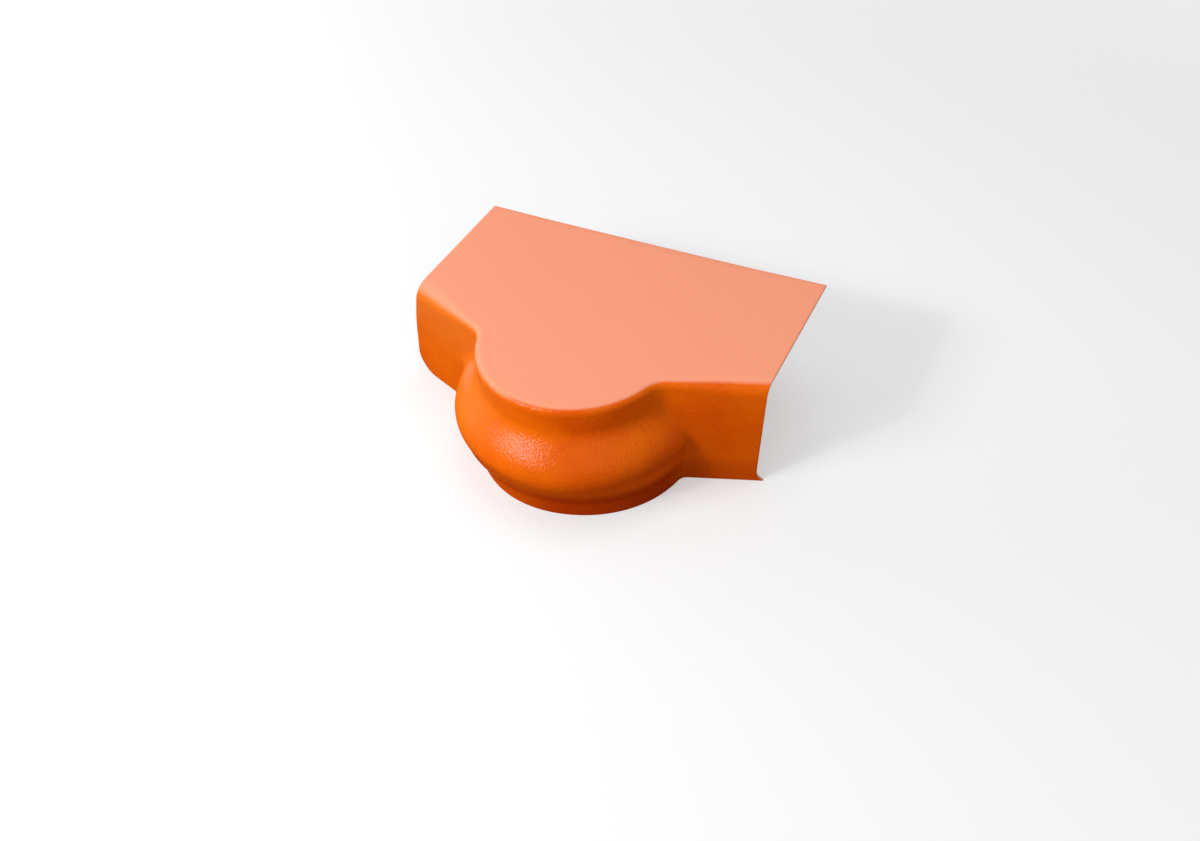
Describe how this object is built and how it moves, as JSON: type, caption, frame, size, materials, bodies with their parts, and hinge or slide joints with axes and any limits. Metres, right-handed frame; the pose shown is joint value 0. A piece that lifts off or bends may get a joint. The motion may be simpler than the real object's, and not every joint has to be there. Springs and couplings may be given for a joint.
{
  "type": "pvc ridge end cap",
  "caption": "Moulded plastic ridge end cap: a flat gable face with a skirt of sloping wings and a round beaded lobe, open at the back, sides and hem.",
  "frame": {"origin": "middle of the bounding box's foot, on the floor that the hem stands on", "axes": "+Z square to the flat gable face, away from the hem; -Y towards the round lobe; +X along the long cut edge"},
  "size_m": [0.4708, 0.3375, 0.146],
  "materials": {
    "orange_pvc": "satin, fine leathery grain"
  },
  "bodies": {
    "root": {"ridge_end_cap": "orange_pvc"}
  },
  "joints": []
}
